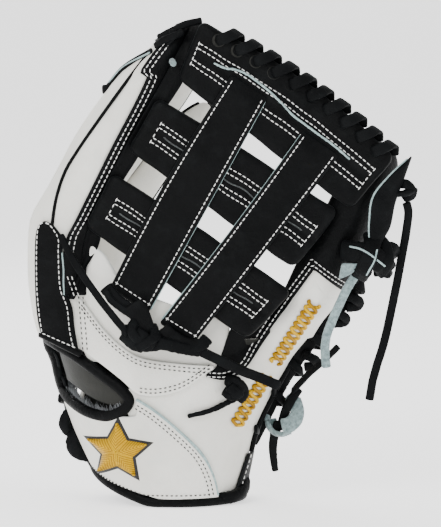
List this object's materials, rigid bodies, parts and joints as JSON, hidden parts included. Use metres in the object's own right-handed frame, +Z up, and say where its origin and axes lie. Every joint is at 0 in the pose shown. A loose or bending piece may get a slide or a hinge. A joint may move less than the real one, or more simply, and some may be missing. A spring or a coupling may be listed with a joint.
{
  "type": "baseball outfield glove",
  "caption": "Left-hand baseball outfield glove in white and black leather, upright on its heel, with a deep laced web of crossbars and posts and loose lace ends.",
  "frame": {"origin": "middle of the glove's outline seen from above, at the level of its heel", "axes": "+Z up through the fingers, -Y towards the back of the web, +X towards the thumb"},
  "size_m": [0.251, 0.1726, 0.317],
  "materials": {
    "white_leather": "satin grained",
    "black_leather": "satin grained",
    "lace": "matt rawhide",
    "grey_suede": "rough suede",
    "fleece": "fleece"
  },
  "bodies": {
    "root": {"palm": "white_leather", "index_finger": "white_leather", "middle_finger": "white_leather", "ring_finger": "white_leather", "little_finger": "white_leather", "thumb": "white_leather", "back_shell": "white_leather", "wrist_strap": "white_leather", "web_base_patch": "white_leather", "web_seat": "white_leather", "finger_pad": "black_leather", "index_web_strip": "black_leather", "thumb_cover": "black_leather", "window_binding": "black_leather", "bottom_binding": "black_leather", "heel_tab": "black_leather", "crossbar_top": "black_leather", "crossbar_middle": "black_leather", "crossbar_low": "black_leather", "post_left": "black_leather", "post_right": "black_leather", "fleece_lining": "fleece", "top_loop_01": "lace", "top_loop_02": "lace", "top_loop_03": "lace", "top_loop_04": "lace", "top_loop_05": "lace", "top_loop_06": "lace", "top_loop_07": "lace", "top_loop_08": "lace", "top_loop_09": "lace", "top_loop_10": "lace", "lace_index_middle": "lace", "lace_middle_ring": "lace", "lace_ring_little": "lace", "thumb_edge_lace_1": "lace", "thumb_edge_lace_2": "lace", "thumb_edge_lace_3": "lace", "thumb_edge_lace_4": "lace", "thumb_edge_lace_5": "lace", "heel_lace_left_low": "lace", "heel_lace_left_high": "lace", "heel_lace_right_low": "lace", "heel_lace_right_high": "lace", "web_knot": "lace", "pad_lace": "lace", "small_knot": "lace", "thumb_leaf": "lace", "upper_knot": "lace", "lower_knot": "lace", "long_thumb_lace": "lace", "side_lace_end": "lace", "flat_lace_end": "lace", "suede_loop": "grey_suede", "suede_tail": "grey_suede"}
  },
  "joints": []
}
